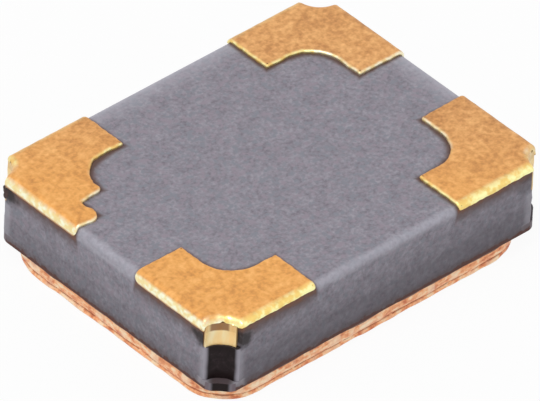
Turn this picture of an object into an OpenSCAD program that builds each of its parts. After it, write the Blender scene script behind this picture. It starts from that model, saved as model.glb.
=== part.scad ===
// Surface-mount crystal oscillator: a layered ceramic package with plated corner notches,
// closed by a flat lid that is seam-welded to a brazed metal ring.
// It lies on its lid with the solder pads up. Millimetres, +Z up, +X along the long side.
// The origin is the centre of the lid's outer face.

/* [Ceramic package] */
// Length of the package
body_l = 3.2; // [3:0.05:3.6]
// Width of the package
body_w = 2.5; // [2.3:0.05:2.9]
// Thickness of the floor layer, which carries the solder pads
floor_t = 0.22; // [0.16:0.005:0.3]
// Thickness of the wall layer round the chip
wall_t = 0.3; // [0.24:0.005:0.36]
// Thickness of the rim layer round the crystal
rim_t = 0.07; // [0.06:0.005:0.12]
// Radius of the corner notches in the floor layer, under the plating
floor_notch_r = 0.2; // [0.16:0.005:0.24]
// Radius of the corner notches in the wall layer
wall_notch_r = 0.165; // [0.12:0.005:0.19]
// Radius of the rounded lips where those notches meet the package's sides
wall_lip_r = 0.045; // [0.01:0.005:0.05]
// Radius of the shallow corner notches in the rim layer
rim_notch_r = 0.3; // [0.2:0.01:0.5]
// How far those shallow notches reach along the package's sides
rim_notch_reach = 0.11; // [0.08:0.005:0.14]
// Radius of the worn edge round the floor layer's outer face
edge_r = 0.05; // [0.02:0.005:0.06]

/* [Cavities] */
// Thickness of the walls round the crystal cavity
cavity_wall = 0.35; // [0.3:0.01:0.42]
// Width of the ledges at the two ends, which carry the crystal
end_ledge_w = 0.4; // [0.35:0.01:0.5]
// Width of the ledges along the two sides
side_ledge_w = 0.25; // [0.15:0.01:0.3]
// Corner radius of both cavities
cavity_r = 0.12; // [0.06:0.01:0.16]

/* [Solder pads] */
// Reach of each pad from its corner along the package's length
pad_l = 0.9; // [0.8:0.01:1.05]
// Reach of each pad from its corner along the package's width
pad_w = 0.92; // [0.85:0.01:1]
// Width of the arm that runs along the length
arm_long = 0.43; // [0.38:0.01:0.5]
// Width of the arm that runs along the width
arm_short = 0.43; // [0.38:0.01:0.5]
// Radius of the hollow between a pad's arms
pad_hollow_r = 0.28; // [0.15:0.01:0.34]
// Radius of the tips at the ends of the arms
pad_tip_r = 0.03; // [0.01:0.005:0.06]
// Thickness of the pads
pad_t = 0.03; // [0.02:0.005:0.05]
// Thickness of the plating in the corner notches
plating_t = 0.02; // [0.01:0.005:0.03]
// How far the broken arm has lost metal, from its end
break_l = 0.205; // [0.17:0.005:0.21]
// How much of the broken arm's width is lost there
break_depth = 0.2; // [0.16:0.005:0.24]
// How far the torn edge wanders
tear = 0.03; // [0.015:0.005:0.035]

/* [Ring and lid] */
// How far the ring lies inside the package's sides
ring_inset = 0.035; // [0.03:0.005:0.08]
// Width of the ring's band
ring_band = 0.27; // [0.22:0.01:0.3]
// Height of the ring
ring_h = 0.095; // [0.08:0.005:0.14]
// Outer corner radius of the ring
ring_corner_r = 0.36; // [0.3:0.01:0.45]
// Inner corner radius of the ring
ring_hole_r = 0.18; // [0.1:0.01:0.22]
// Thickness of the braze between the ring and the ceramic
braze_t = 0.015; // [0.01:0.005:0.03]
// How far the lid lies inside the ring's edge
lid_inset = 0.01; // [0.005:0.005:0.03]
// Thickness of the lid
lid_t = 0.07; // [0.05:0.005:0.1]
// Width of the shallow slope that the weld rollers leave along each side of the lid
weld_slope_w = 0.12; // [0.11:0.005:0.18]
// How far that slope falls back at the lid's edge
weld_slope_h = 0.015; // [0.01:0.005:0.03]

/* [Crystal] */
// Gap between the crystal and the cavity's ends
blank_end_gap = 0.08; // [0.05:0.01:0.12]
// Gap between the crystal and the cavity's sides
blank_side_gap = 0.15; // [0.08:0.01:0.22]
// Thickness of the crystal
blank_t = 0.05; // [0.03:0.005:0.07]
// Thickness of the electrode films
film_t = 0.005; // [0.004:0.001:0.008]
// Distance from the crystal's ends to the electrodes
electrode_end_gap = 0.5; // [0.4:0.01:0.6]
// Distance from the crystal's sides to the electrodes
electrode_side_gap = 0.2; // [0.15:0.01:0.35]
// Width of the tabs that lead to the glue dots
tab_w = 0.2; // [0.12:0.01:0.24]
// Radius of the glue dots
glue_r = 0.11; // [0.08:0.01:0.13]
// Thickness of the glue dots
glue_t = 0.015; // [0.01:0.005:0.025]
// Gap between the crystal lands and the ledge's edges
land_gap = 0.06; // [0.04:0.01:0.08]
// Width of the crystal lands
land_w = 0.4; // [0.3:0.01:0.5]
// Distance of the crystal lands from the cavity's sides
land_side_gap = 0.25; // [0.15:0.01:0.3]

/* [Chip] */
// Gap between the chip and its cavity's ends
die_end_gap = 0.3; // [0.2:0.01:0.35]
// Gap between the chip and its cavity's sides
die_side_gap = 0.2; // [0.15:0.01:0.25]
// Thickness of the chip
die_t = 0.12; // [0.08:0.005:0.16]
// Distance from the chip's edges to the bumps
bump_inset = 0.15; // [0.1:0.01:0.2]
// Radius of the bumps
bump_r = 0.04; // [0.03:0.005:0.05]
// Height of the bumps
bump_t = 0.02; // [0.015:0.005:0.03]
// Thickness of the printed lands and tracks
print_t = 0.01; // [0.008:0.001:0.015]
// Radius of the lands under the bumps and vias
print_r = 0.07; // [0.06:0.005:0.09]
// Width of the tracks
track_w = 0.08; // [0.06:0.005:0.1]
// Radius of the vias
via_r = 0.04; // [0.03:0.005:0.05]
// Distance of the pad vias from the package's ends
via_from_end = 0.55; // [0.45:0.01:0.65]
// Distance of the pad vias from the package's sides
via_from_side = 0.28; // [0.24:0.01:0.32]
// Distance of the ring's via from the sides of its corner
ring_via_in = 0.25; // [0.22:0.005:0.27]

/* [Hidden] */

$fn = 64;
past = 0.1; // how far a cutter reaches past what it cuts

// Heights, from the lid up
z_ring = lid_t;
z_braze = z_ring + ring_h;
z_seal = z_braze + braze_t;
z_ledge = z_seal + rim_t;
z_floor = z_ledge + wall_t;
z_top = z_floor + floor_t;
z_pad = z_top + pad_t;

// Plan sizes that follow from the walls, the ledges and the gaps
ring_l = body_l - 2 * ring_inset;
ring_w = body_w - 2 * ring_inset;
crystal_cavity_l = body_l - 2 * cavity_wall;
crystal_cavity_w = body_w - 2 * cavity_wall;
die_cavity_l = crystal_cavity_l - 2 * end_ledge_w;
die_cavity_w = crystal_cavity_w - 2 * side_ledge_w;
blank_l = crystal_cavity_l - 2 * blank_end_gap;
blank_w = crystal_cavity_w - 2 * blank_side_gap;
electrode_l = blank_l - 2 * electrode_end_gap;
electrode_w = blank_w - 2 * electrode_side_gap;
die_l = die_cavity_l - 2 * die_end_gap;
die_w = die_cavity_w - 2 * die_side_gap;

// Where the lips' axes and the shallow notches' axes lie, from the package's corner
wall_lip_at = sqrt(pow(wall_notch_r + wall_lip_r, 2) - pow(wall_lip_r, 2));
rim_notch_out = (sqrt(2 * pow(rim_notch_r, 2) - pow(rim_notch_reach, 2)) - rim_notch_reach) / 2;

// The crystal hangs from the lands on the ledge: land, film, glue, film, quartz, film
z_land = z_ledge - print_t;
z_glue = z_land - glue_t;
z_blank_top = z_glue - film_t;
z_blank = z_blank_top - blank_t;
land_x = crystal_cavity_l / 2 - end_ledge_w / 2;
land_y = crystal_cavity_w / 2 - land_side_gap - land_w / 2;

// The chip hangs face up from its bumps
z_print = z_floor - print_t;
z_bump = z_print - bump_t;
z_die = z_bump - die_t;
bump_x = die_l / 2 - bump_inset;
bump_y = die_w / 2 - bump_inset;
via_x = body_l / 2 - via_from_end;
via_y = body_w / 2 - via_from_side;

CERAMIC = [0.52, 0.50, 0.54];
GOLD = [0.90, 0.67, 0.38];
COPPER = [0.86, 0.60, 0.44];
BRAZE = [0.42, 0.30, 0.24];
LID = [0.82, 0.58, 0.44];
QUARTZ = [0.85, 0.90, 0.92];
SILICON = [0.30, 0.32, 0.36];
GLUE = [0.72, 0.72, 0.70];
TUNGSTEN = [0.45, 0.45, 0.47];

// ---- shared shapes ----

// A rectangle with round corners, centred
module round_rect(l, w, r) {
    square([l - 2 * r, w], center = true);
    square([l, w - 2 * r], center = true);
    for (x = [-1, 1], y = [-1, 1])
        translate([x * (l / 2 - r), y * (w / 2 - r)]) circle(r);
}

// Places children at a package corner: there u runs inward along X, and v along Y
module at_corner(x, y) {
    translate([x * body_l / 2, y * body_w / 2, 0])
        mirror([x > 0 ? 1 : 0, 0, 0]) mirror([0, y > 0 ? 1 : 0, 0]) children();
}

// The waste outside a quarter circle of radius r, which rounds an edge along its axis
module edge_waste(r) {
    difference() {
        square(r + past);
        circle(r);
    }
}

// Rounds the four upper edges of the package to radius r, about an axis edge_r inside them
module upper_edge_cutters(r) {
    for (s = [0, 180]) {
        rotate([0, 0, s]) translate([-body_l / 2, body_w / 2 - edge_r, z_top - edge_r])
            rotate([90, 0, 90]) linear_extrude(body_l) edge_waste(r);
        rotate([0, 0, s]) translate([body_l / 2 - edge_r, body_w / 2, z_top - edge_r])
            rotate([90, 0, 0]) linear_extrude(body_w) edge_waste(r);
    }
}

// A squashed round dot with a bulging side: glue and bumps
module dot(r, t) {
    rotate_extrude() intersection() {
        translate([0, -t / 2]) square([r, t]);
        translate([r - t, 0]) union() {
            circle(t);
            translate([t - r, -t]) square([r - t, 2 * t]);
        }
    }
}

// ---- ceramic ----

// One ceramic layer; the children cut its corners
module layer(z, t) {
    translate([0, 0, z]) linear_extrude(t) difference() {
        square([body_l, body_w], center = true);
        for (x = [-1, 1], y = [-1, 1]) at_corner(x, y) children();
    }
}

module floor_layer() {
    difference() {
        layer(z_floor, floor_t) circle(floor_notch_r);
        upper_edge_cutters(edge_r);
    }
}

// The waste between a notch, a side and the rounded lip that joins them
module lip_waste() {
    difference() {
        polygon([[0, 0], [wall_lip_at, 0], [wall_lip_at, wall_lip_r]]);
        translate([wall_lip_at, wall_lip_r]) circle(wall_lip_r);
    }
}

module wall_notch() {
    circle(wall_notch_r);
    lip_waste();
    mirror([1, -1]) lip_waste();
}

module ceramic_base() {
    color(CERAMIC) difference() {
        union() {
            floor_layer();
            layer(z_ledge, wall_t) wall_notch();
            layer(z_seal, rim_t) translate([-rim_notch_out, -rim_notch_out]) circle(rim_notch_r);
        }
        translate([0, 0, z_seal - past])
            linear_extrude(rim_t + past) round_rect(crystal_cavity_l, crystal_cavity_w, cavity_r);
        translate([0, 0, z_seal])
            linear_extrude(rim_t + wall_t) round_rect(die_cavity_l, die_cavity_w, cavity_r);
        prints();
        crystal_via_posts();
        pad_via_posts();
        ring_via_post(past);
    }
}

// ---- solder pads, in a corner's own u and v ----

// Cuts a convex corner back to a round of radius r, toward -u and -v
module tip_cutter(r) {
    difference() {
        translate([-r, -r]) square(r + past);
        translate([-r, -r]) circle(r);
    }
}

module pad_plan() {
    difference() {
        union() {
            square([pad_l, arm_long]);
            square([arm_short, pad_w]);
            translate([arm_short, arm_long]) difference() {
                square(pad_hollow_r);
                translate([pad_hollow_r, pad_hollow_r]) circle(pad_hollow_r);
            }
        }
        translate([pad_l, arm_long]) tip_cutter(pad_tip_r);
        translate([arm_short, pad_w]) tip_cutter(pad_tip_r);
        translate([pad_l, 0]) mirror([0, 1]) tip_cutter(pad_tip_r);
        translate([0, pad_w]) mirror([1, 0]) tip_cutter(pad_tip_r);
    }
}

// The pad whose short arm is broken: the metal is torn away beside the arm's end
module broken_pad_plan() {
    break_v = pad_w - break_l;
    break_u = arm_short - break_depth;
    difference() {
        pad_plan();
        polygon([
            [arm_short + past, break_v], [arm_short, break_v], [arm_short - tear, break_v + tear / 2],
            [break_u + 2 * tear, break_v + tear / 2], [break_u - tear / 2, break_v + tear],
            [break_u - tear, break_v + 2 * tear], [break_u, break_v + 4 * tear],
            [break_u, pad_w - tear], [break_u - tear, pad_w + tear],
            [break_u - tear, pad_w + past], [arm_short + past, pad_w + past]
        ]);
    }
}

// One pad: the flat face, wrapped over the worn edge, and the plating down its corner notch
module pad(x, y) {
    color(GOLD) difference() {
        at_corner(x, y) difference() {
            union() {
                translate([0, 0, z_top - edge_r]) linear_extrude(edge_r + pad_t) children();
                translate([0, 0, z_floor]) linear_extrude(floor_t) intersection() {
                    circle(floor_notch_r);
                    square(floor_notch_r);
                }
            }
            translate([0, 0, z_floor - past])
                cylinder(r = floor_notch_r - plating_t, h = z_pad - z_floor + 2 * past);
        }
        floor_layer();
        upper_edge_cutters(edge_r + pad_t);
    }
}

module solder_pad_1() { pad(-1, -1) pad_plan(); }
module solder_pad_2() { pad(1, -1) pad_plan(); }
module solder_pad_3() { pad(1, 1) pad_plan(); }
module solder_pad_4() { pad(-1, 1) broken_pad_plan(); }

// ---- ring and lid ----

module ring_plan() {
    difference() {
        round_rect(ring_l, ring_w, ring_corner_r);
        round_rect(ring_l - 2 * ring_band, ring_w - 2 * ring_band, ring_hole_r);
    }
}

module ring_braze() {
    color(BRAZE) translate([0, 0, z_braze]) linear_extrude(braze_t) ring_plan();
}

module seam_ring() {
    color(COPPER) translate([0, 0, z_ring]) linear_extrude(ring_h) ring_plan();
}

module lid() {
    l = ring_l - 2 * lid_inset;
    w = ring_w - 2 * lid_inset;
    r = ring_corner_r - lid_inset;
    color(LID) difference() {
        linear_extrude(lid_t) round_rect(l, w, r);
        for (s = [0, 180]) rotate([0, 0, s]) {
            translate([-l / 2 - past, w / 2, 0])
                rotate([90, 0, 90]) linear_extrude(l + 2 * past) weld_waste();
            translate([l / 2, w / 2 + past, 0])
                rotate([90, 0, 0]) linear_extrude(w + 2 * past) weld_waste();
        }
    }
}

// What falls away beyond the weld slope along one side of the lid
module weld_waste() {
    polygon([
        [-weld_slope_w, 0], [past, weld_slope_h * (1 + past / weld_slope_w)],
        [past, -past], [-weld_slope_w, -past]
    ]);
}

// ---- crystal ----

module crystal_blank() {
    color(QUARTZ) translate([-blank_l / 2, -blank_w / 2, z_blank]) cube([blank_l, blank_w, blank_t]);
}

// An electrode seen in plan: the patch in the middle, and the tab to the crystal's fixed end
module electrode_plan(side) {
    tab_l = blank_l / 2;
    round_rect(electrode_l, electrode_w, tab_w / 2);
    translate([-tab_l, side * land_y - tab_w / 2]) square([tab_l, tab_w]);
}

module electrode_floor_side() {
    color(GOLD) translate([0, 0, z_blank_top]) linear_extrude(film_t) electrode_plan(1);
}

// This one turns round the crystal's end, to reach its glue dot on the other face
module electrode_lid_side() {
    wrap_l = 2 * (blank_l / 2 - land_x + glue_r);
    color(GOLD) translate([-blank_l / 2 - film_t, -land_y - tab_w / 2, z_blank - film_t]) {
        cube([wrap_l, tab_w, film_t]);
        cube([film_t, tab_w, blank_t + 2 * film_t]);
        translate([0, 0, film_t + blank_t]) cube([wrap_l, tab_w, film_t]);
    }
    color(GOLD) translate([0, 0, z_blank - film_t]) linear_extrude(film_t) electrode_plan(-1);
}

module crystal_glue(side) {
    color(GLUE) translate([-land_x, side * land_y, z_glue + glue_t / 2]) dot(glue_r, glue_t);
}

module crystal_glue_1() { crystal_glue(1); }
module crystal_glue_2() { crystal_glue(-1); }

module crystal_land(side) {
    land_l = end_ledge_w - 2 * land_gap;
    color(GOLD) translate([-land_x - land_l / 2, side * land_y - land_w / 2, z_land])
        cube([land_l, land_w, print_t]);
}

module crystal_land_1() { crystal_land(1); }
module crystal_land_2() { crystal_land(-1); }

// ---- chip, prints and vias ----

module oscillator_die() {
    color(SILICON) translate([-die_l / 2, -die_w / 2, z_die]) cube([die_l, die_w, die_t]);
}

module die_bumps() {
    color(GOLD) for (x = [-1, 0, 1], y = [-1, 1])
        translate([x * bump_x, y * bump_y, z_bump + bump_t / 2]) dot(bump_r, bump_t);
}

// A printed track through the given points, along X and Y, with a round land at each end
module track(points) {
    half = track_w / 2;
    for (i = [1 : len(points) - 1]) {
        a = points[i - 1];
        b = points[i];
        low = [min(a.x, b.x) - half, min(a.y, b.y) - half];
        translate(low) square([abs(a.x - b.x) + track_w, abs(a.y - b.y) + track_w]);
    }
    translate(points[0]) circle(print_r);
    translate(points[len(points) - 1]) circle(print_r);
}

module prints() {
    translate([0, 0, z_print]) linear_extrude(print_t) for (y = [-1, 1]) {
        track([[-bump_x, y * bump_y], [-land_x, y * bump_y], [-land_x, y * land_y]]);
        track([[0, y * bump_y], [0, y * via_y], [-via_x, y * via_y]]);
        track([[bump_x, y * bump_y], [via_x, y * bump_y], [via_x, y * via_y]]);
    }
}

module die_lands() {
    color(GOLD) prints();
}

module crystal_via_posts() {
    for (y = [-1, 1]) translate([-land_x, y * land_y, z_ledge])
        cylinder(r = via_r, h = z_print - z_ledge);
}

module crystal_vias() {
    color(TUNGSTEN) crystal_via_posts();
}

module pad_via_posts() {
    for (x = [-1, 1], y = [-1, 1]) translate([x * via_x, y * via_y, z_floor])
        cylinder(r = via_r, h = floor_t);
}

module pad_vias() {
    color(TUNGSTEN) pad_via_posts();
}

// The post from the ring's braze to the second pad, drawn past both ends by extra
module ring_via_post(extra) {
    at_corner(1, -1) translate([ring_via_in, ring_via_in, z_seal - extra])
        cylinder(r = via_r, h = z_top - z_seal + 2 * extra);
}

module ring_via() {
    color(TUNGSTEN) ring_via_post(0);
}

ceramic_base();
solder_pad_1();
solder_pad_2();
solder_pad_3();
solder_pad_4();
ring_braze();
seam_ring();
lid();
crystal_blank();
electrode_floor_side();
electrode_lid_side();
crystal_glue_1();
crystal_glue_2();
crystal_land_1();
crystal_land_2();
oscillator_die();
die_bumps();
die_lands();
crystal_vias();
pad_vias();
ring_via();
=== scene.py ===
import math

import bmesh
import bpy
import numpy as np
from mathutils import Matrix, Vector, geometry, noise


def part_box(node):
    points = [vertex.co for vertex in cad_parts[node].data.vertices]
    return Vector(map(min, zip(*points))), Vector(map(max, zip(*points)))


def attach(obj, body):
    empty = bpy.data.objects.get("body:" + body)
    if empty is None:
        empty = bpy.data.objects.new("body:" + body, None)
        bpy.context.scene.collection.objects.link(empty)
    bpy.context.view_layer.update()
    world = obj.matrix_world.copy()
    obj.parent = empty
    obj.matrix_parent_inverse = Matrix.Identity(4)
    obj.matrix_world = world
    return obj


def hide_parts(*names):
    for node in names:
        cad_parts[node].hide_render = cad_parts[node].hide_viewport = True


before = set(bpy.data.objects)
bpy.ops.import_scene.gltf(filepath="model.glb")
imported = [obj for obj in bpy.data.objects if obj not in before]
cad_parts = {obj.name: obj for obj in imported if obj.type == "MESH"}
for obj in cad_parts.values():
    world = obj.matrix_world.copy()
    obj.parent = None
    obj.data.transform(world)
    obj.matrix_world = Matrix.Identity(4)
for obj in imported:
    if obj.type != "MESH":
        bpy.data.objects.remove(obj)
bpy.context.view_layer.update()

MM = 0.001  # this script works in millimetres, and make() and camera() turn them into metres


def low(node):
    """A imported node's lowest x, y and z, in millimetres."""
    return np.array(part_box(node)[0]) / MM


def high(node):
    """Its highest."""
    return np.array(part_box(node)[1]) / MM


# ---- sizes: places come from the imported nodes, and the radii and widths are part.scad's ----
HL, HW = high("ceramic_base")[:2]       # half the package's length and width
Z_SEAL, Z_TOP = low("ceramic_base")[2], high("ceramic_base")[2]
Z_LEDGE = high("crystal_land_1")[2]     # between the rim layer and the wall layer
Z_FLOOR, Z_PAD = low("solder_pad_1")[2], high("solder_pad_1")[2]
Z_RING, Z_BRAZE = low("seam_ring")[2], high("seam_ring")[2]
RING_HL, RING_HW = high("seam_ring")[:2]
LID_HL, LID_HW = high("lid")[:2]
FLOOR_NOTCH = 0.2                       # radii of the corner notches, and of the lips beside them
WALL_NOTCH, WALL_LIP = 0.165, 0.045
RIM_NOTCH, RIM_REACH, RIM_LIP = 0.3, 0.125, 0.1
SMALL = 0.86                            # the notches at the +X -Y and the -X +Y corner are this much of the others
BIG_RIM = 1.15                          # but the rim layer's at -X +Y is this much of the others
STRAIGHT, SIDE_STEP = 0.24, 0.03        # the layers share their points on the sides, from here and so far apart
EDGE_R = 0.05
CAVITY_WALL, END_LEDGE, SIDE_LEDGE, CAVITY_R = 0.35, 0.4, 0.25, 0.12
CAVITY_STEP = 0.06
PAD_L, PAD_W, ARM, HOLLOW = 0.9, 0.92, 0.43, 0.28
PAD_T = Z_PAD - Z_TOP
BEVEL, GRID = 0.018, 0.014              # the pads' rounded edge, and how far apart the points of their face are
PLATED_R, NOTCH_ROLL = 0.178, 0.05      # the plated notch's face, and how the pad rolls over into it
BREAK_V, BREAK_U = 0.715, 0.23          # where the broken pad's short arm is torn
FOLD_R = 0.04                           # how tightly the pads fold over the package's edges
WRAP_X, WRAP_Y = 0.078, 0.034           # how far the pads reach down the package's ends and sides
RING_R, RING_BAND, RING_HOLE_R = 0.36, 0.27, 0.18
LID_R = 0.35
SHARP_FROM = 38                         # degrees: a steeper edge between two faces is drawn sharp
AWAY = 9.0                              # mm: takes a place in a material out of reach


# ---- materials ----
def lin(r, g, b):
    """An 8-bit screen colour as Blender's linear colour."""
    out = []
    for c in (r, g, b):
        c /= 255
        out.append(c / 12.92 if c <= 0.04045 else ((c + 0.055) / 1.055) ** 2.4)
    return (*out, 1.0)


class Mat:
    """A Principled material with short calls for its nodes. Texture coordinates are in millimetres."""

    def __init__(self, name, roughness, metallic=0.0, specular=0.5):
        self.m = bpy.data.materials.new(name)
        self.m.use_nodes = True
        self.t = self.m.node_tree
        self.t.nodes.clear()
        out = self.t.nodes.new("ShaderNodeOutputMaterial")
        self.b = self.t.nodes.new("ShaderNodeBsdfPrincipled")
        self.t.links.new(self.b.outputs[0], out.inputs[0])
        self.b.inputs["Metallic"].default_value = metallic
        self.b.inputs["Roughness"].default_value = roughness
        self.b.inputs["Specular IOR Level"].default_value = specular
        scale = self.t.nodes.new("ShaderNodeVectorMath")
        scale.operation = "SCALE"
        scale.inputs["Scale"].default_value = 1 / MM
        self.t.links.new(self.t.nodes.new("ShaderNodeTexCoord").outputs["Object"], scale.inputs[0])
        self.p = scale.outputs[0]
        split = self.t.nodes.new("ShaderNodeSeparateXYZ")
        self.t.links.new(self.p, split.inputs[0])
        self.x, self.y, self.z = split.outputs

    def put(self, socket, value):
        """value is a number, a colour or another node's output."""
        if isinstance(value, bpy.types.NodeSocket):
            self.t.links.new(value, socket)
        else:
            socket.default_value = value

    def math(self, op, *values, clamp=False):
        """A Math node's output. values are numbers or other nodes' outputs. The calls below are short forms of it."""
        n = self.t.nodes.new("ShaderNodeMath")
        n.operation = op
        n.use_clamp = clamp
        for s, v in zip(n.inputs, values):
            self.put(s, v)
        return n.outputs[0]

    def mul(self, a, b, clamp=False):
        return self.math("MULTIPLY", a, b, clamp=clamp)

    def muladd(self, a, b, c):
        return self.math("MULTIPLY_ADD", a, b, c)

    def add(self, a, b):
        return self.math("ADD", a, b)

    def sub(self, a, b):
        return self.math("SUBTRACT", a, b)

    def div(self, a, b):
        return self.math("DIVIDE", a, b)

    def max(self, a, b):
        return self.math("MAXIMUM", a, b)

    def min(self, a, b):
        return self.math("MINIMUM", a, b)

    def less(self, a, b):
        """1 where a is under b, else 0."""
        return self.math("LESS_THAN", a, b)

    def abs(self, a):
        return self.math("ABSOLUTE", a)

    def length(self, a, b):
        return self.math("SQRT", self.add(self.mul(a, a), self.mul(b, b)))

    def step(self, value, at0, at1):
        """0 where value is at0, 1 where it is at1, smooth between."""
        n = self.t.nodes.new("ShaderNodeMapRange")
        n.interpolation_type = "SMOOTHSTEP"
        self.put(n.inputs["Value"], value)
        if at0 > at1:
            n.inputs["From Min"].default_value, n.inputs["From Max"].default_value = at1, at0
            n.inputs["To Min"].default_value, n.inputs["To Max"].default_value = 1, 0
        else:
            n.inputs["From Min"].default_value, n.inputs["From Max"].default_value = at0, at1
        return n.outputs["Result"]

    def noise(self, scale, detail=2.0, rough=0.5, stretch=None, distortion=0.0):
        """0 to 1, mostly near 0.5. scale is in bumps a millimetre."""
        n = self.t.nodes.new("ShaderNodeTexNoise")
        n.inputs["Scale"].default_value = scale
        n.inputs["Detail"].default_value = detail
        n.inputs["Roughness"].default_value = rough
        n.inputs["Distortion"].default_value = distortion
        vector = self.p
        if stretch:
            s = self.t.nodes.new("ShaderNodeVectorMath")
            s.operation = "MULTIPLY"
            self.t.links.new(self.p, s.inputs[0])
            s.inputs[1].default_value = stretch
            vector = s.outputs[0]
        self.t.links.new(vector, n.inputs["Vector"])
        return n.outputs["Fac"]

    def attribute(self, name):
        """A number that make() gave each point of the mesh."""
        n = self.t.nodes.new("ShaderNodeAttribute")
        n.attribute_name = name
        return n.outputs["Fac"]

    def ramp(self, value, *stops):
        """stops: value and colour, in rising order."""
        n = self.t.nodes.new("ShaderNodeValToRGB")
        e = n.color_ramp.elements
        while len(e) < len(stops):
            e.new(0.5)
        for i, (at, colour) in enumerate(stops):
            e[i].position = at
            e[i].color = colour
        self.put(n.inputs[0], value)
        return n.outputs["Color"]

    def mix(self, factor, a, b):
        """a where factor is 0, b where it is 1."""
        n = self.t.nodes.new("ShaderNodeMix")
        n.data_type = "RGBA"
        self.put(n.inputs["Factor"], factor)
        self.put(n.inputs[6], a)
        self.put(n.inputs[7], b)
        return n.outputs[2]

    def cover(self, base, where, strength, colour):
        """base with colour over it: where runs from 0 to 1, and strength is how strongly it covers at 1."""
        return self.mix(self.mul(where, strength), base, colour)

    def edges(self):
        """How far a point lies in from the package's nearest end, u, and from its nearest side, v."""
        return self.sub(HL, self.abs(self.x)), self.sub(HW, self.abs(self.y))

    def small_corners(self):
        """1 at the +X -Y and the -X +Y corner, else 0."""
        return self.less(self.mul(self.x, self.y), 0.0)

    def colour(self, value):
        self.put(self.b.inputs["Base Color"], value)

    def bump(self, height, depth, strength):
        """height 0..1 stands for depth millimetres."""
        n = self.t.nodes.new("ShaderNodeBump")
        n.inputs["Strength"].default_value = strength
        n.inputs["Distance"].default_value = depth * MM
        self.put(n.inputs["Height"], height)
        self.t.links.new(n.outputs[0], self.b.inputs["Normal"])


# A near-black brown for the dark marks beside and under the notches
NEAR_BLACK = lin(30, 20, 20)


def pad_distance(m):
    """u, v, and how far a point of the package's skin is from the nearest pad, along the face and below its rim."""
    u, v = m.edges()
    long_arm = m.max(m.sub(u, PAD_L), m.sub(v, ARM))
    short_arm = m.max(m.sub(u, ARM), m.sub(v, PAD_W))
    d = m.math("SMOOTH_MIN", long_arm, short_arm, 0.49)
    torn = m.max(m.sub(BREAK_V, v), m.sub(BREAK_U, u))
    # The broken part counts at -X +Y only
    torn = m.add(torn, m.mul(m.math("GREATER_THAN", m.x, 0.0), AWAY))
    torn = m.add(torn, m.mul(m.less(m.y, 0.0), AWAY))
    d = m.max(d, m.mul(torn, -1.0))
    rim_z = m.muladd(m.less(u, v), WRAP_Y - WRAP_X, Z_TOP - WRAP_Y)
    return u, v, d, m.sub(rim_z, m.z)


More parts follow.
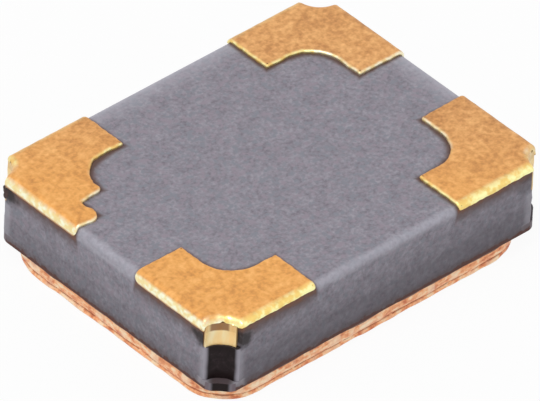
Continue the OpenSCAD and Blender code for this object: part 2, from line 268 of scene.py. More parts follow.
def ceramic_material():
    """Grey alumina, worn at its edges and stained round the pads, the notches and the braze, with painted highlights
    on its worn top edge and far edges, and painted shade by the pads, down the long sides and above the braze.
    """
    m = Mat("ceramic", 0.62, specular=0.35)
    fine = m.noise(30, 2, 0.6)
    blotch = m.noise(8, 2, 0.5)
    tint = m.noise(24, 1, 0.5)
    # Grey grain, with a reddish and a bluish tint in places
    grain = m.add(m.mul(fine, 0.68), m.muladd(blotch, 0.4, -0.04))
    c = m.ramp(grain, (0.32, lin(119, 113, 122)), (0.5, lin(140, 135, 144)), (0.68, lin(159, 155, 164)))
    c = m.mix(m.step(tint, 0.52, 0.74), c, lin(147, 137, 147))
    c = m.mix(m.step(tint, 0.48, 0.27), c, lin(133, 134, 143))
    # The lower layers are darker, each with a soft upper edge
    for top, deep in ((Z_TOP - 0.17, 0.1), (Z_LEDGE + 0.17, 0.2), (Z_SEAL + 0.12, 0.14)):
        c = m.cover(c, m.step(m.z, top + 0.03, top - 0.03), deep, lin(40, 34, 42))
    u, v, flat, below = pad_distance(m)
    # Painted shade: the long sides are darker towards the bottom
    long_side_shade = m.mul(m.less(v, u), m.step(m.z, Z_TOP - 0.08, Z_TOP - 0.45))
    c = m.cover(c, long_side_shade, 0.3, lin(58, 50, 58))
    # Painted highlight on the worn, rounded edge round the top: paler, and reaching deeper at the package's ends
    nearest = m.min(u, v)
    deeper = m.muladd(m.less(u, v), 0.035, m.z)
    worn = m.mul(m.step(nearest, 0.08, 0.02), m.step(deeper, Z_TOP - 0.085, Z_TOP - 0.03))
    worn = m.mul(worn, m.muladd(fine, 0.5, 0.28))
    c = m.mix(worn, c, lin(184, 182, 192))
    # Painted reflection: a pale sheen along the two far edges
    far_u = m.muladd(m.less(m.x, 0.0), AWAY, u)
    far_v = m.muladd(m.less(m.y, 0.0), AWAY, v)
    far_edge_reflection = m.step(m.min(far_u, far_v), 0.24, 0.02)
    c = m.cover(c, far_edge_reflection, 0.34, lin(196, 194, 204))
    # Brown stains with painted shade close to the pads, narrow on the face and deeper under the rims
    deep = m.mul(below, m.muladd(m.less(u, v), 0.5, 6.0))
    pad_stain_and_shade = m.max(m.div(flat, 0.04), deep)
    pad_stain_and_shade = m.muladd(m.noise(18, 2), 0.5, pad_stain_and_shade)
    c = m.cover(c, m.step(pad_stain_and_shade, 1.25, 0.25), 0.9, lin(84, 58, 50))
    near = m.mul(m.step(pad_stain_and_shade, 0.6, 0.2), m.step(m.z, Z_TOP - 0.01, Z_TOP - 0.03))
    c = m.cover(c, near, 0.8, lin(128, 84, 62))
    # Dark marks on the floor layer beside the corner notches
    along = m.div(m.sub(m.max(u, v), 0.22), 0.1)
    down = m.div(m.sub(m.z, Z_FLOOR + 0.075), 0.09)
    spot = m.muladd(m.noise(16, 2), 1.3, m.length(along, down))
    spot = m.mul(m.step(spot, 1.75, 1.0), m.muladd(m.less(m.x, 0.0), 0.62, 0.3))
    c = m.mix(spot, c, NEAR_BLACK)
    # Each notch's ledges: dark under the plating, pale at the ends of the lips, dull in the middle, and grey at the
    # two smaller notches
    reach = m.length(u, v)
    in_notch = m.mul(m.step(reach, 0.23, 0.2), m.step(nearest, 0.005, 0.02))
    under = m.mul(in_notch, m.step(m.z, Z_FLOOR + 0.02, Z_FLOOR + 0.005))
    c = m.cover(c, under, 0.95, NEAR_BLACK)
    ends = m.step(m.abs(m.sub(u, v)), 0.05, 0.15)
    pale = m.mul(m.step(reach, 0.26, 0.22), m.step(m.z, Z_LEDGE + 0.02, Z_LEDGE + 0.005))
    lips = m.mul(m.step(reach, 0.25, 0.19), m.step(m.z, Z_FLOOR, Z_FLOOR - 0.03))
    pale = m.mul(m.max(pale, m.mul(lips, 0.6)), ends)
    c = m.cover(c, pale, 0.6, lin(186, 182, 190))
    dull = m.mul(m.step(reach, 0.2, 0.18), m.step(m.z, Z_LEDGE + 0.01, Z_LEDGE + 0.005))
    c = m.mix(m.mul(dull, m.muladd(ends, -0.8, 0.8)), c, lin(92, 80, 84))
    grey = m.mul(m.step(reach, 0.26, 0.22), m.step(m.z, Z_LEDGE + 0.01, Z_LEDGE + 0.005))
    grey = m.mul(grey, m.small_corners())
    c = m.cover(c, grey, 0.8, lin(112, 104, 112))
    # Braze that has crept up on to the lowest edge, as a dark line, with painted shade above it
    braze_and_shade_height = m.muladd(m.noise(15, 2), 0.08, m.z)
    c = m.cover(c, m.step(braze_and_shade_height, Z_SEAL + 0.14, Z_SEAL + 0.07), 0.45, lin(72, 48, 40))
    c = m.cover(c, m.step(braze_and_shade_height, Z_SEAL + 0.076, Z_SEAL + 0.06), 0.92, lin(82, 44, 34))
    m.colour(c)
    m.bump(fine, 0.004, 0.5)
    return m.m


def notch_material():
    """The bare walls of the corner notches, nearly black."""
    m = Mat("ceramic_notch", 0.55, specular=0.15)
    n = m.noise(22, 3, 0.6)
    c = m.ramp(n, (0.3, lin(20, 12, 12)), (0.6, lin(38, 28, 30)), (0.8, lin(60, 48, 52)))
    # Darkest close to the layers above and below, and pale at the lips
    close = m.max(m.step(m.z, Z_LEDGE + 0.09, Z_LEDGE + 0.03), m.step(m.z, Z_FLOOR - 0.08, Z_FLOOR - 0.02))
    c = m.cover(c, close, 0.75, lin(24, 13, 13))
    u, v = m.edges()
    c = m.mix(m.step(m.min(u, v), 0.035, 0.004), c, lin(160, 155, 164))
    # The rim layer's notches are grey, but for the middle of the two larger ones
    grey = m.max(m.step(m.abs(m.sub(u, v)), 0.085, 0.13), m.small_corners())
    m.colour(m.mix(m.mul(grey, m.step(m.z, Z_LEDGE + 0.004, Z_LEDGE)), c, lin(118, 106, 112)))
    m.bump(n, 0.004, 0.5)
    return m.m


def pad_material():
    """Matt gold, with a painted highlight on its edges where the rim attribute is above 0: paler there, and shinier.
    """
    m = Mat("pad_gold", 0.5, metallic=0.35)
    mottle = m.noise(27, 2, 0.5)
    broad = m.noise(7, 2)
    rim = m.attribute("rim")
    grain = m.add(m.mul(mottle, 0.62), m.mul(broad, 0.38))
    c = m.ramp(grain, (0.3, lin(208, 142, 72)), (0.5, lin(236, 168, 88)), (0.7, lin(251, 188, 110)))
    # Painted shade: the far pads are a little darker and duller
    far = m.ramp(grain, (0.3, lin(168, 114, 72)), (0.5, lin(206, 152, 102)), (0.7, lin(240, 188, 130)))
    far_pad_shade = m.step(m.add(m.x, m.y), -1.0, 1.0)
    c = m.cover(c, far_pad_shade, 0.55, far)
    # Painted highlight on the rims: patchy, paler, and whiter towards the package's ends
    bead = m.step(m.noise(18, 2), 0.36, 0.62)
    bright = m.mul(rim, m.muladd(bead, 0.3, 0.7), clamp=True)
    u, v = m.edges()
    ends = m.less(u, v)
    warm = m.mix(ends, lin(255, 232, 138), lin(255, 248, 186))
    c = m.mix(bright, c, m.mix(bead, warm, m.mix(ends, lin(255, 251, 182), lin(255, 255, 224))))
    m.colour(m.cover(c, m.attribute("under"), 0.9, lin(150, 98, 62)))
    m.put(m.b.inputs["Metallic"], m.muladd(bright, 0.55, 0.35))
    m.put(m.b.inputs["Roughness"], m.muladd(bright, -0.24, 0.52))
    m.bump(mottle, 0.003, 0.4)
    return m.m


def plating_material():
    """The bright gold down the corner notches."""
    m = Mat("plating_gold", 0.42, metallic=0.2)
    n = m.noise(14, 2, 0.5, stretch=(1, 1, 0.3))
    c = m.ramp(n, (0.3, lin(255, 206, 132)), (0.55, lin(255, 226, 164)), (0.75, lin(255, 242, 200)))
    # Painted shadow, brown, close under the pad, most in the middle of the -X -Y notch, and brown on the plating's
    # back
    u, v = m.edges()
    middle = m.step(m.abs(m.sub(u, m.sub(v, 0.035))), 0.11, 0.08)
    wavy = m.muladd(m.noise(20, 1), 0.012, m.z)
    near = m.less(m.add(m.x, m.y), -HW)
    roll_shadow_and_back = m.mul(m.muladd(m.mul(middle, near), 0.7, 0.2), m.step(wavy, Z_TOP - 0.09, Z_TOP - 0.075))
    roll_shadow_and_back = m.max(roll_shadow_and_back, m.attribute("under"))
    m.colour(m.mix(roll_shadow_and_back, c, lin(140, 90, 42)))
    m.bump(n, 0.003, 0.4)
    return m.m


def copper_material(name, dark, mid, bright):
    """Streaky copper, with a painted highlight on the weld's crests, and brown in the seam's groove."""
    m = Mat(name, 0.38, metallic=0.45)
    streak = m.noise(9, 3, 0.55, stretch=(1, 1, 2.5), distortion=0.3)
    fine = m.noise(26, 2, 0.6)
    g = m.add(m.mul(streak, 0.7), m.mul(fine, 0.3))
    c = m.ramp(g, (0.38, dark), (0.5, mid), (0.6, bright))
    c = m.cover(c, m.attribute("crest"), 0.5, lin(255, 232, 200))
    ragged = m.mul(m.attribute("groove"), m.step(m.noise(15, 2), 0.34, 0.48))
    m.colour(m.cover(c, ragged, 0.9, lin(146, 78, 52)))
    m.bump(fine, 0.004, 0.6)
    return m.m


def mottled(name, dark, light, metallic, roughness, scale=20):
    """A plain material with a fine grain between two tones."""
    m = Mat(name, roughness, metallic=metallic)
    n = m.noise(scale, 3, 0.55)
    m.colour(m.ramp(n, (0.35, dark), (0.65, light)))
    m.bump(n, 0.002, 0.4)
    return m.m


def quartz_material():
    m = Mat("quartz", 0.08)
    n = m.noise(5, 2)
    m.colour(m.ramp(n, (0.3, lin(206, 216, 222)), (0.7, lin(226, 234, 238))))
    m.bump(n, 0.001, 0.2)
    m.b.inputs["Transmission Weight"].default_value = 0.6
    m.b.inputs["IOR"].default_value = 1.54
    return m.m


CERAMIC = ceramic_material()
NOTCH = notch_material()
PAD = pad_material()
PLATE = plating_material()
RING = copper_material("ring_copper", lin(212, 122, 80), lin(252, 182, 130), lin(255, 224, 184))
LID = copper_material("lid_copper", lin(212, 122, 82), lin(252, 180, 128), lin(255, 222, 182))
RESIDUE = mottled("residue", lin(26, 14, 14), lin(74, 50, 46), 0.0, 0.7, 16)
BRAZE = mottled("braze", lin(56, 28, 22), lin(118, 70, 50), 0.2, 0.5, 26)
FILM = mottled("film_gold", lin(212, 158, 84), lin(240, 192, 116), 0.8, 0.3)
GLUE = mottled("silver_glue", lin(150, 148, 144), lin(196, 194, 188), 0.3, 0.55, 30)
SILICON = mottled("silicon", lin(66, 70, 82), lin(88, 92, 106), 0.4, 0.25, 8)
QUARTZ = quartz_material()
TUNGSTEN = mottled("via_metal", lin(96, 96, 100), lin(130, 130, 134), 0.6, 0.45, 30)


# ---- mesh helpers ----
def make(name, verts, faces, materials, slots=None, values=None, stands_for=()):
    """A smooth mesh piece from points in millimetres. slots gives each face's material, values the points' numbers."""
    mesh = bpy.data.meshes.new(name)
    mesh.from_pydata((np.asarray(verts) * MM).tolist(), [], [list(map(int, f)) for f in faces])
    for mat in materials:
        mesh.materials.append(mat)
    if slots is not None:
        mesh.polygons.foreach_set("material_index", np.asarray(slots, dtype=np.int32))
    for key, data in (values or {}).items():
        a = mesh.attributes.new(key, "FLOAT", "POINT")
        a.data.foreach_set("value", np.asarray(data, dtype=np.float32))
    bm = bmesh.new()
    bm.from_mesh(mesh)
    bmesh.ops.recalc_face_normals(bm, faces=bm.faces)
    bm.to_mesh(mesh)
    bm.free()
    mesh.polygons.foreach_set("use_smooth", [True] * len(mesh.polygons))
    mesh.set_sharp_from_angle(angle=math.radians(SHARP_FROM))
    mesh.update()
    obj = bpy.data.objects.new(name, mesh)
    bpy.context.scene.collection.objects.link(obj)
    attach(obj, "root")
    if stands_for:
        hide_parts(*stands_for)
    return obj


def wobble(points, scale, amount, seed=0.0):
    """Smooth random numbers about 0, one for each point, up to about amount. scale is in bumps a millimetre."""
    out = []
    for p in points:
        z = p[2] if len(p) > 2 else 0
        out.append(noise.noise(Vector((p[0] * scale + seed, p[1] * scale - seed, z * scale))))
    return np.array(out) * amount * 1.6


def arc(cx, cy, r, a0, a1, step=0.008):
    """Points on a circle's arc from a0 to a1 degrees, about step apart."""
    n = max(3, int(abs(math.radians(a1 - a0)) * r / step))
    t = np.radians(np.linspace(a0, a1, n))
    return np.c_[cx + r * np.cos(t), cy + r * np.sin(t)]


def resample(points, step):
    """The closed path through the points, at even steps."""
    p = np.vstack([points, points[:1]])
    run = np.r_[0, np.cumsum(np.hypot(*np.diff(p, axis=0).T))]
    n = int(run[-1] / step)
    at = np.linspace(0, run[-1], n, endpoint=False)
    return np.c_[np.interp(at, run, p[:, 0]), np.interp(at, run, p[:, 1])]


def soften(p, times):
    """The closed path with its corners rubbed down."""
    for _ in range(times):
        p = (np.roll(p, 1, 0) + 2 * p + np.roll(p, -1, 0)) / 4
    return p


def inward(p):
    """Unit vectors to the left of a closed path, which point inward where it runs anticlockwise."""
    d = np.roll(p, -1, 0) - np.roll(p, 1, 0)
    d /= np.maximum(np.hypot(d[:, 0], d[:, 1]), 1e-9)[:, None]
    return np.c_[-d[:, 1], d[:, 0]]


def rounded_rect(hl, hw, r, step=0.01, worn=0.0):
    """Anticlockwise, with as many points on each side and corner whatever the size. The +X -Y and the -X +Y corner
    are rounder by worn."""
    n = int(math.pi / 2 * RING_R / step)
    corners = []
    for sx, sy, a0 in ((1, 1, 0), (-1, 1, 90), (-1, -1, 180), (1, -1, 270)):
        q = r + (worn if sx != sy else 0)
        t = np.radians(np.linspace(a0, a0 + 90, n))
        corners.append(np.c_[sx * (hl - q) + q * np.cos(t), sy * (hw - q) + q * np.sin(t)])
    out = []
    for i, a in enumerate(corners):
        b = corners[(i + 1) % 4]
        count = int(2 * (HW if i % 2 else HL) / step)
        s = np.linspace(0, 1, count + 1)[1:-1, None]
        out += [a, a[-1] * (1 - s) + b[0] * s]
    return np.vstack(out)


def bridge(a, b, n):
    """Quads between two closed loops of n points that start at a and b."""
    i = np.arange(n)
    j = (i + 1) % n
    return np.c_[a + i, a + j, b + j, b + i]


def inside(points, loop):
    """Which points lie inside the closed loop."""
    x, y = points[:, 0][:, None], points[:, 1][:, None]
    x0, y0 = loop[:, 0][None], loop[:, 1][None]
    x1, y1 = np.roll(loop[:, 0], -1)[None], np.roll(loop[:, 1], -1)[None]
    cross = (y0 > y) != (y1 > y)
    with np.errstate(divide="ignore", invalid="ignore"):
        at = x0 + (y - y0) * (x1 - x0) / (y1 - y0)
    return (np.sum(cross & (x < at), axis=1) % 2) == 1


def delaunay(points, edges, count):
    """Blender's triangles within the loop of the first count points. edges are kept as they are."""
    return geometry.delaunay_2d_cdt([Vector(p) for p in points], edges, [list(range(count))], 1, 1e-6)


def cap(loops, offsets):
    """Triangles that fill a closed 2-D loop, round the hole in it if a second loop is given."""
    points = np.vstack(loops)
    count = len(loops[0])
    if len(loops) == 1:
        tris = np.array(geometry.tessellate_polygon([[Vector((x, y, 0)) for x, y in points]]))
    else:
        hole = [(k, k + 1 if k + 1 < len(points) else count) for k in range(count, len(points))]
        out = delaunay(points, hole, count)
        tris = np.array([[out[3][k][0] for k in f] for f in out[2]])
        tris = tris[~inside(points[tris].mean(1), loops[1])]
    index = np.concatenate([np.arange(len(loop)) + o for loop, o in zip(loops, offsets)])
    return index[tris].tolist()


# ---- ceramic: three layers with stepped corner notches ----
def to_corner(uv, sx, sy):
    """A corner's own u and v, in from the package's end and side, as x and y."""
    return np.c_[sx * (HL - uv[:, 0]), sy * (HW - uv[:, 1])]


def notch_with_lips(out, r, lip):
    """A notch about an axis that lies out beyond the corner both ways, with lips that curve out to the sides."""
    far = math.sqrt((r + lip) ** 2 - (out + lip) ** 2)
    turn = math.degrees(math.atan2(out + lip, far))
    low_lip = arc(far - out, lip, lip, 180 + turn, 270, 0.005)
    main = arc(-out, -out, r, 90 - turn, turn)
    return np.vstack([low_lip[::-1, ::-1], main[1:-1], low_lip])


def notch_floor():
    return arc(0, 0, FLOOR_NOTCH, 90, 0)


def notch_wall():
    return notch_with_lips(0, WALL_NOTCH, WALL_LIP)


def notch_rim():
    """The shallow notch of the rim layer, which reaches RIM_REACH along the sides without its lips."""
    out = (math.sqrt(2 * RIM_NOTCH ** 2 - RIM_REACH ** 2) - RIM_REACH) / 2
    return notch_with_lips(out, RIM_NOTCH, RIM_LIP)


def layer_outline(notch, right=SMALL, left=SMALL):
    """Anticlockwise outline of a layer, and which of its points lie in a notch. notch runs from v's axis to u's, and
    right and left scale it at the +X -Y and the -X +Y corner."""
    corners = ((-1, -1, 1), (1, -1, right), (1, 1, 1), (-1, 1, left))
    out, flags = [], []
    for i, (sx, sy, scale) in enumerate(corners):
        p = to_corner((notch if sx == sy else notch[::-1]) * scale, sx, sy)
        a, b = np.array([sx * HL, sy * HW]), np.array(corners[(i + 1) % 4][:2]) * (HL, HW)
        away = (b - a) / np.hypot(*(b - a)) * STRAIGHT
        s = np.linspace(0, 1, int(np.hypot(*(b - a)) / SIDE_STEP))[:, None]
        out += [p, (a + away) * (1 - s) + (b - away) * s]
        flags += [np.ones(len(p), bool), np.zeros(len(s), bool)]
    return np.vstack(out), np.concatenate(flags)


def ceramic():
    """The package: the floor layer on top, the wall layer and the rim layer below it."""
    verts, faces, slots = [], [], []

    def add_loop(xy, z):
        start = sum(len(v) for v in verts)
        verts.append(np.c_[xy, np.full(len(xy), z)])
        return start

    def wall(a, b, n, dark=None):
        """A wall between two loops, which is dark between two points that are marked so."""
        faces.extend(bridge(a, b, n).tolist())
        slots.extend([0 if dark is None else int(dark[i] and dark[(i + 1) % n]) for i in range(n)])

    def fill(loops, offsets):
        t = cap(loops, offsets)
        faces.extend(t)
        slots.extend([0] * len(t))

    def window(o, low_loop, high_loop, opening, z0, z1):
        """Closes a layer from z0 to z1, round the opening in its middle."""
        low_edge, high_edge = add_loop(opening, z0), add_loop(opening, z1)
        wall(low_edge, high_edge, len(opening))
        fill([o, opening], [low_loop, low_edge])
        fill([o, opening], [high_loop, high_edge])

    def off_sides(o):
        """Which points of an outline don't lie in the package's end and side planes."""
        return np.minimum(HL - abs(o[:, 0]), HW - abs(o[:, 1])) > 0.002

    cav = rounded_rect(HL - CAVITY_WALL, HW - CAVITY_WALL, CAVITY_R, CAVITY_STEP)
    die = rounded_rect(HL - CAVITY_WALL - END_LEDGE, HW - CAVITY_WALL - SIDE_LEDGE, CAVITY_R, CAVITY_STEP)
    # Floor layer, with its worn upper edge
    o, _ = layer_outline(notch_floor())
    inner = inward(o)
    prev = first = add_loop(o, Z_FLOOR)
    for t in np.radians(np.linspace(0, 90, 9)):
        k = EDGE_R * (1 - math.cos(t))
        here = add_loop(o + inner * k, Z_TOP - EDGE_R * (1 - math.sin(t)))
        wall(prev, here, len(o))
        prev = here
    fill([o + inner * EDGE_R], [prev])
    fill([o], [first])
    # Wall layer, round the chip. Its notches are a little uneven
    o, f = layer_outline(notch_wall())
    n = len(o)
    inner = inward(o)
    levels = []
    for z in np.linspace(Z_LEDGE, Z_FLOOR, 9):
        uneven = np.where(f, wobble(np.c_[o, np.full(n, z)], 16, 0.004, 3.0), 0)
        levels.append(add_loop(o + inner * uneven[:, None], z))
    for low_loop, high_loop in zip(levels, levels[1:]):
        wall(low_loop, high_loop, n, f & off_sides(o))
    window(o, levels[0], levels[-1], die, Z_LEDGE, Z_FLOOR)
    # Rim layer, round the crystal
    o, f = layer_outline(notch_rim(), 1, BIG_RIM)
    a, b = add_loop(o, Z_SEAL), add_loop(o, Z_LEDGE)
    wall(a, b, len(o), f & off_sides(o))
    window(o, a, b, cav, Z_SEAL, Z_LEDGE)
    return make("ceramic_body", np.vstack(verts), faces, [CERAMIC, NOTCH], slots, stands_for=["ceramic_base"])


# ---- solder pads: thick soft-edged metal, folded over the package's worn edges ----
def fold_length(depth):
    """How far a sheet must reach past the package's side plane to hang depth below its top."""
    if depth < FOLD_R:
        return FOLD_R * (math.acos(1 - depth / FOLD_R) - 1)
    return FOLD_R * (math.pi / 2 - 1) + depth - FOLD_R


def whole_edge():
    """A pad's inner edge, from its long arm round the hollow to the end of its short arm."""
    return np.vstack([arc(ARM + HOLLOW, ARM + HOLLOW, HOLLOW, 270, 180), [[ARM, PAD_W]]])


def broken_edge():
    """The same edge of the pad at -X +Y, where a piece has broken out of the short arm."""
    return [[ARM + 0.27, ARM - 0.012], [ARM + 0.17, ARM + 0.002], [ARM + 0.085, ARM + 0.06],
            [ARM + 0.033, ARM + 0.123], [ARM, ARM + 0.2], [ARM + 0.006, BREAK_V - 0.01],
            [ARM - 0.03, BREAK_V + 0.014], [BREAK_U + 0.07, BREAK_V + 0.017],
            [BREAK_U - 0.016, BREAK_V + 0.025], [BREAK_U - 0.026, BREAK_V + 0.07],
            [BREAK_U + 0.003, BREAK_V + 0.13], [BREAK_U - 0.008, BREAK_V + 0.18],
            [BREAK_U - 0.034, BREAK_V + 0.225], [BREAK_U - 0.07, BREAK_V + 0.242],
            [BREAK_U - 0.14, BREAK_V + 0.232]]


def pad_loop(sx, sy, plated, torn, seed):
    """A pad's edge and its inward vectors, anticlockwise in its corner's u and v. Its u or v is under 0 beyond the
    package's end or side, where the pad is folded down."""
    a0 = -fold_length(WRAP_X + (0.005 if sy > 0 else 0))
    b0 = -fold_length(WRAP_Y - (0.008 if sx < 0 else 0))
    outline = np.vstack([
        [[plated + 0.004, b0], [PAD_L, b0], [PAD_L, ARM]], broken_edge() if torn else whole_edge(),
        [[0.4 * a0, PAD_W + 0.01], [a0, PAD_W - 0.02], [a0, plated + 0.004]],
        arc(0, 0, plated, 90, 0)])
    loop = soften(resample(outline, 0.008), 4)
    n_in = inward(loop)
    rough = wobble(loop, 11, 0.003, seed) + wobble(loop, 30, 0.0025, seed + 5)
    drip = wobble(loop, 8, 0.004, seed + 9)
    outside = np.clip(-np.minimum(loop[:, 0], loop[:, 1]) / 0.03, 0, 1)
    return loop - n_in * (rough + drip * outside)[:, None], n_in


def sheet(loop, n_in, lit):
    """A sheet of metal with a rounded edge: its points in u and v, their heights above the package and their painted
    highlight, its faces, and the number of the first point of its underside."""
    count = len(loop)
    rows, heights, rim_highlights = [loop + n_in * 0.004], [-0.004], [lit]
    for t in np.radians(np.linspace(0, 90, 6)):
        rows.append(loop + n_in * BEVEL * (1 - math.cos(t)))
        heights.append(PAD_T - BEVEL * (1 - math.sin(t)))
        rim_highlights.append(lit * (1.0 - 0.8 * (t / (math.pi / 2)) ** 2))
    rows.append(loop + n_in * (BEVEL + 0.008))
    heights.append(PAD_T)
    rim_highlights.append(0 * lit)
    inner_loop = rows[-1]
    lo, hi = inner_loop.min(0), inner_loop.max(0)
    gx, gy = np.meshgrid(np.arange(lo[0], hi[0], GRID), np.arange(lo[1], hi[1], GRID))
    grid = np.c_[gx.ravel(), gy.ravel()]
    grid = grid[inside(grid, inner_loop + n_in * 0.009)]
    flat = np.vstack([inner_loop, grid])
    out = delaunay(flat, [], count)
    origin = [o[0] if o else -1 for o in out[3]]
    top = [[origin[k] for k in f] for f in out[2]]
    top = [f for f in top if min(f) >= 0]
    base = (len(rows) - 1) * count
    under = base + len(flat)
    faces = []
    for r in range(len(rows) - 1):
        faces.extend(bridge(r * count, (r + 1) * count, count).tolist())
    faces.extend([[k + base for k in f] for f in top])
    faces.extend([[k + under for k in f] for f in top])
    faces.extend(bridge(0, under, count).tolist())
    h = [np.full(count, v) for v in heights] + [np.full(len(grid), PAD_T), np.full(len(flat), -0.006)]
    rim = rim_highlights + [np.zeros(len(grid) + len(flat))]
    return np.vstack(rows + [grid, flat]), np.concatenate(h), np.concatenate(rim), faces, under


def folded(ab, h, sx, sy):
    """A sheet's points in place. What reaches beyond the package's edges is folded down its sides."""
    uv = ab.copy()
    z = Z_TOP + h
    for k in (0, 1):
        s = ab[:, k]
        turn = np.clip((FOLD_R - s) / FOLD_R, 0, math.pi / 2)
        down = np.maximum((FOLD_R - s) - FOLD_R * math.pi / 2, 0)
        use = (s < FOLD_R) & (ab[:, 1 - k] >= s)
        uv[use, k] = (FOLD_R - (FOLD_R + h) * np.sin(turn))[use]
        z[use] = (Z_TOP - FOLD_R + (FOLD_R + h) * np.cos(turn) - down)[use]
    return np.c_[to_corner(uv, sx, sy), z]


def plating(sx, sy, scale, seed):
    """The gold down a corner notch from under the pad's roll: closed loops of points, the lowest first, and how many
    points of each are on its face."""
    plated = PLATED_R * scale
    stop = 13 if sx < 0 and sy < 0 else 2
    front, back = (arc(0, 0, r, 88, stop, 0.006) for r in (plated + 0.003, FLOOR_NOTCH * scale + 0.002))
    m = len(front)
    back = back[np.linspace(0, len(back) - 1, m).astype(int)]
    closed = np.vstack([front, back[::-1]])
    levels = []
    for z0 in np.linspace(Z_FLOOR, Z_TOP - BEVEL, 12):
        p = closed.copy()
        z = np.full(len(p), z0)
        if z0 == Z_FLOOR:
            z = z + np.abs(wobble(p, 16, 0.004, seed + 1))
        p[:m] *= (1 + wobble(np.c_[front, z[:m]], 14, 0.003, seed) / plated)[:, None]
        levels.append(np.c_[to_corner(p, sx, sy), z])
    return levels, m


def pad(name, sx, sy, torn, seed, node):
    """The pad at the corner on sx's and sy's side, with the plating in that corner's notch."""
    scale = 1 if sx == sy else SMALL
    plated = PLATED_R * scale
    outward = np.array([sx, sy])
    loop, n_in = pad_loop(sx, sy, plated, torn, seed)
    # Painted highlight on the edges that look towards -X and -Y
    lit = np.clip(0.3 - 0.8 * (n_in @ outward) / math.sqrt(2), 0.04, 1)
    ab, h, rim, faces, under = sheet(loop, n_in, lit)
    # A little swell in the face, and thinner metal where it is folded down
    swell = wobble(ab, 3.5, 0.002, seed + 2) + wobble(ab, 14, 0.0014, seed + 3)
    fold = np.clip((FOLD_R - np.minimum(ab[:, 0], ab[:, 1])) / (FOLD_R * math.pi / 2), 0, 1)
    h = np.where(h > 0, (h + swell * (h / PAD_T)) * (1 - 0.55 * fold), h)
    # The roll over the edge of the corner notch
    reach = np.hypot(ab[:, 0], ab[:, 1])
    k = np.clip(NOTCH_ROLL - (reach - plated), 0, NOTCH_ROLL)
    roll = PAD_T - NOTCH_ROLL + np.sqrt(NOTCH_ROLL ** 2 - k ** 2)
    h = np.minimum(h, np.where(np.arange(len(ab)) < under, roll, roll - 0.014))
    # Painted highlight: the folds that look towards -X and -Y, and parts of the roll
    shine_x = np.clip((0.016 - ab[:, 0]) / 0.012, 0, 1) * (1.0 if sx < 0 else 0.3)
    shine_y = np.clip((0.05 - ab[:, 1]) / 0.03, 0, 1) * (1.0 if sy < 0 else 0.3)
    low_end = np.clip((-0.037 - ab[:, 0]) / 0.022, 0, 1)
    toward = 0.65 * (ab @ outward) / np.maximum(reach, 0.01) / math.sqrt(2)
    toward = np.clip((0.35 if sx == sy else 0.6) - toward, 0, 1)
    patchy = np.clip(0.55 + wobble(ab, 18, 0.5, seed + 7), 0.1, 1)
    shine_roll = np.clip(k / 0.03, 0, 1) * toward * patchy
    rim = np.maximum(np.maximum(rim, shine_roll), np.maximum(shine_x, shine_y)) * (1 - low_end)
    pos = folded(ab, h, sx, sy)
    # The plating, whose loops are closed by quads from its face to its back
    levels, m = plating(sx, sy, scale, seed)
    own_faces, start, turn = len(faces), len(pos), 2 * m
    last = start + (len(levels) - 1) * turn
    for s0 in range(start, last, turn):
        faces.extend(bridge(s0, s0 + turn, turn).tolist())
    for s0 in (start, last):
        faces.extend([[s0 + i, s0 + i + 1, s0 + turn - 2 - i, s0 + turn - 1 - i] for i in range(m - 1)])
    slots = [0] * own_faces + [1] * (len(faces) - own_faces)
    values = {"rim": np.r_[rim, np.zeros(turn * len(levels))],
              "under": np.r_[low_end, np.tile(np.r_[np.zeros(m), np.ones(m)], len(levels))]}
    return make(name, np.vstack([pos] + levels), faces, [PAD, PLATE], slots, values, stands_for=[node])


# ---- a dark lump of burnt flux on a notch's lip ----
def flux_lump(centre, half):
    """centre and half are its middle and its half sizes in millimetres."""
    bm = bmesh.new()
    bmesh.ops.create_icosphere(bm, subdivisions=4, radius=1.0)
    verts = []
    for v in bm.verts:
        grow = 1 + 0.35 * noise.noise(v.co * 1.7)
        verts.append([c + h * grow * x for c, h, x in zip(centre, half, v.co)])
    faces = [[v.index for v in f.verts] for f in bm.faces]
    bm.free()
    return make("flux_residue", verts, faces, [RESIDUE])


# ---- braze, ring and lid: wavy, with the welded seam between ring and lid ----
def beads(p, pitch, seed):
    """Uneven weld ripples along the edge, 0 in the creases and 1 on the crests."""
    return np.clip(0.5 + wobble(p, 1 / pitch, 0.55, seed) + wobble(p, 0.4 / pitch, 0.35, seed + 3), 0, 1)


def band(name, size, profile, material, hole, seed, bead, wave, node):
    """A ring, or a plate if hole is None, whose outer side follows profile from below: how far out, z, how deep in
    the seam's groove, and how much the ripples move it. size is the half length, half width and corner radius."""
    o = rounded_rect(*size, worn=0.1)
    n = len(o)
    out = -inward(o)
    crest = beads(o, 0.09, seed)
    verts, faces, groove, crest_highlight = [], [], [], []
    for d, z, g, move in profile:
        p3 = np.c_[o, np.full(n, z)]
        shift = d + wave * wobble(p3, 5, 1.0, seed) * min(1, move * 2) + bead * move * (crest - 0.6)
        rise = wobble(p3, 6, 0.004, seed + 4) * move
        verts.append(np.c_[o + out * shift[:, None], z + rise])
        groove.append(np.full(n, g))
        # Painted highlight on the ripples' crests
        crest_highlight.append(np.clip((crest - 0.55) / 0.3, 0, 1) * move)
    last = (len(profile) - 1) * n
    for k in range(0, last, n):
        faces.extend(bridge(k, k + n, n).tolist())
    if hole:
        q = rounded_rect(*hole)
        verts += [np.c_[q, np.full(n, profile[-1][1])], np.c_[q, np.full(n, profile[0][1])]]
        groove.append(np.zeros(2 * n))
        crest_highlight.append(np.zeros(2 * n))
        for a, b in ((last, last + n), (last + n, last + 2 * n), (last + 2 * n, 0)):
            faces.extend(bridge(a, b, n).tolist())
    else:
        faces.append(list(range(n))[::-1])
        faces.append(list(range(last, last + n)))
    values = {"groove": np.concatenate(groove), "crest": np.concatenate(crest_highlight)}
    return make(name, np.vstack(verts), faces, [material], None, values, stands_for=[node])


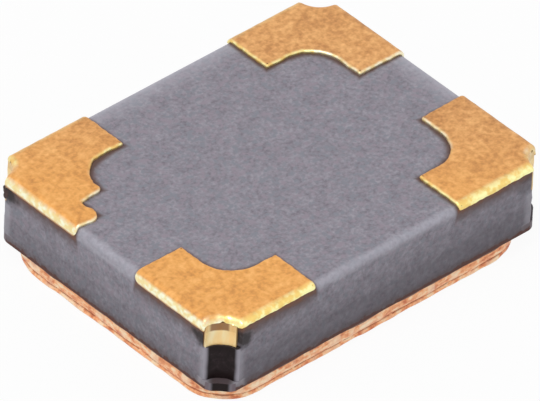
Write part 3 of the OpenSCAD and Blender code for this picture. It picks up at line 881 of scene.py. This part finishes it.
# ---- the pieces ----
ceramic()
for i, (sx, sy) in enumerate(((-1, -1), (1, -1), (1, 1), (-1, 1)), 1):
    pad(f"pad_{i}", sx, sy, i == 4, 3.7 * i, f"solder_pad_{i}")
flux_lump((-HL + 0.03, HW - 0.165, Z_FLOOR + 0.075), (0.034, 0.045, 0.07))
RING_SIZE = (RING_HL, RING_HW, RING_R)
RING_HOLE = (RING_HL - RING_BAND, RING_HW - RING_BAND, RING_HOLE_R)
band("braze_line", RING_SIZE,
     [(0.0, Z_BRAZE - 0.03, 0, 0.6), (0.01, Z_BRAZE - 0.022, 0, 1), (0.02, Z_BRAZE - 0.006, 0, 1),
      (0.028, Z_SEAL - 0.006, 0, 0.6), (0.028, Z_SEAL, 0, 0)],
     BRAZE, RING_HOLE, seed=2.0, bead=0.004, wave=0.008, node="ring_braze")
band("weld_ring", RING_SIZE,
     [(-0.014, Z_RING - 0.012, 1, 0), (-0.006, Z_RING - 0.009, 0.8, 0.2), (0.002, Z_RING - 0.002, 0, 0.6),
      (0.009, Z_RING + 0.012, 0, 1), (0.012, Z_RING + 0.03, 0, 1), (0.011, Z_RING + 0.05, 0, 1),
      (0.008, Z_RING + 0.074, 0, 0.8), (0.002, Z_BRAZE, 0.2, 0.2)],
     RING, RING_HOLE, seed=5.0, bead=0.006, wave=0.004, node="seam_ring")
band("weld_lid", (LID_HL, LID_HW, LID_R),
     [(-0.12, 0.0, 0, 0), (-0.012, 0.013, 0, 0.1), (0.004, 0.017, 0, 0.5), (0.013, 0.025, 0, 1),
      (0.015, 0.036, 0, 1), (0.01, 0.048, 0, 0.7), (0.0, 0.056, 0.9, 0.3), (-0.012, Z_RING, 1, 0)],
     LID, None, seed=8.0, bead=0.006, wave=0.004, node="lid")

# The pieces inside keep their CAD solids, with materials of their own
INNER = {"crystal_blank": QUARTZ, "electrode_floor_side": FILM, "electrode_lid_side": FILM,
         "crystal_glue_1": GLUE, "crystal_glue_2": GLUE, "crystal_land_1": FILM, "crystal_land_2": FILM,
         "oscillator_die": SILICON, "die_bumps": FILM, "die_lands": FILM,
         "crystal_vias": TUNGSTEN, "pad_vias": TUNGSTEN, "ring_via": TUNGSTEN}
for node, material in INNER.items():
    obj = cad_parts[node]
    for s in obj.material_slots:
        s.material = material


# ---- floor, light and camera ----
def backdrop_shader(tree, surface, keep):
    """White for the camera and in reflections; other rays, and keep of the camera's, see surface."""
    path = tree.nodes.new("ShaderNodeLightPath")
    seen = path.outputs["Is Camera Ray"]
    for other in ("Is Glossy Ray", "Is Transmission Ray"):
        n = tree.nodes.new("ShaderNodeMath")
        n.operation = "MAXIMUM"
        tree.links.new(seen, n.inputs[0])
        tree.links.new(path.outputs[other], n.inputs[1])
        seen = n.outputs[0]
    part = tree.nodes.new("ShaderNodeMath")
    part.operation = "MULTIPLY"
    tree.links.new(seen, part.inputs[0])
    part.inputs[1].default_value = 1 - keep
    white = tree.nodes.new("ShaderNodeEmission" if keep else "ShaderNodeBackground")
    white.inputs["Color"].default_value = (1, 1, 1, 1)
    white.inputs["Strength"].default_value = 1.0
    mix = tree.nodes.new("ShaderNodeMixShader")
    tree.links.new(part.outputs[0], mix.inputs[0])
    tree.links.new(surface, mix.inputs[1])
    tree.links.new(white.outputs[0], mix.inputs[2])
    return mix.outputs[0]


def floor_disc(radius, below):
    """The floor, in metres, a hair below the ground so that the lid's face isn't in it."""
    mesh = bpy.data.meshes.new("floor")
    bm = bmesh.new()
    bmesh.ops.create_circle(bm, cap_ends=True, segments=96, radius=radius)
    bmesh.ops.translate(bm, verts=bm.verts, vec=(0, 0, -below))
    bm.to_mesh(mesh)
    bm.free()
    obj = bpy.data.objects.new("floor", mesh)
    bpy.context.scene.collection.objects.link(obj)
    material = bpy.data.materials.new("floor_white")
    material.use_nodes = True
    tree = material.node_tree
    tree.nodes.clear()
    diffuse = tree.nodes.new("ShaderNodeBsdfDiffuse")
    diffuse.inputs["Color"].default_value = (0.8, 0.8, 0.8, 1)
    out = tree.nodes.new("ShaderNodeOutputMaterial")
    tree.links.new(backdrop_shader(tree, diffuse.outputs[0], 0.06), out.inputs[0])
    mesh.materials.append(material)
    return obj


def studio(colour, strength):
    """The even light from all round."""
    world = bpy.data.worlds.new("studio")
    bpy.context.scene.world = world
    world.use_nodes = True
    tree = world.node_tree
    tree.nodes.clear()
    sky = tree.nodes.new("ShaderNodeBackground")
    sky.inputs["Color"].default_value = colour
    sky.inputs["Strength"].default_value = strength
    out = tree.nodes.new("ShaderNodeOutputWorld")
    tree.links.new(backdrop_shader(tree, sky.outputs[0], 0), out.inputs[0])


def sun(name, toward, strength, angle):
    data = bpy.data.lights.new(name, "SUN")
    data.energy = strength
    data.angle = math.radians(angle)
    obj = bpy.data.objects.new(name, data)
    obj.rotation_euler = Vector(toward).to_track_quat("Z", "Y").to_euler()
    bpy.context.scene.collection.objects.link(obj)


AZ, EL, ROLL = math.radians(-43.97), math.radians(39.03), math.radians(2.92)  # round, up and tilted
DISTANCE = 110.0        # mm from the pads' plane
PX_PER_MM = 138.08      # at that distance
PICTURE_W = 540         # pixels
LOOK = (1.2, -41.5)     # pixels: the middle of the pads' plane from the picture's middle, right and down
SENSOR = 36             # mm


def camera():
    """Looks down on the corner nearest to it from far away, with a long lens."""
    back = Vector((math.sin(AZ) * math.cos(EL), -math.cos(AZ) * math.cos(EL), math.sin(EL)))
    right = Vector((0, 0, 1)).cross(back).normalized()
    up = back.cross(right)
    right, up = math.cos(ROLL) * right + math.sin(ROLL) * up, -math.sin(ROLL) * right + math.cos(ROLL) * up
    place = Vector((0, 0, Z_PAD)) + back * DISTANCE - right * (LOOK[0] / PX_PER_MM)
    place += up * (LOOK[1] / PX_PER_MM)
    data = bpy.data.cameras.new("camera")
    data.sensor_width = SENSOR
    data.lens = SENSOR * PX_PER_MM * DISTANCE / PICTURE_W
    data.clip_start, data.clip_end = 0.01, 10
    obj = bpy.data.objects.new("camera", data)
    obj.matrix_world = Matrix.Translation(place * MM) @ Matrix((right, up, back)).transposed().to_4x4()
    bpy.context.scene.collection.objects.link(obj)
    bpy.context.scene.camera = obj


floor = floor_disc(radius=0.25, below=0.000001)
studio(colour=(0.97, 0.98, 1.0, 1), strength=0.55)
sun("key", toward=(-0.45, -0.1, 0.9), strength=1.35, angle=35)
sun("fill", toward=(0.3, -0.7, 0.6), strength=0.05, angle=60)
camera()

bpy.context.scene.view_settings.view_transform = "Standard"
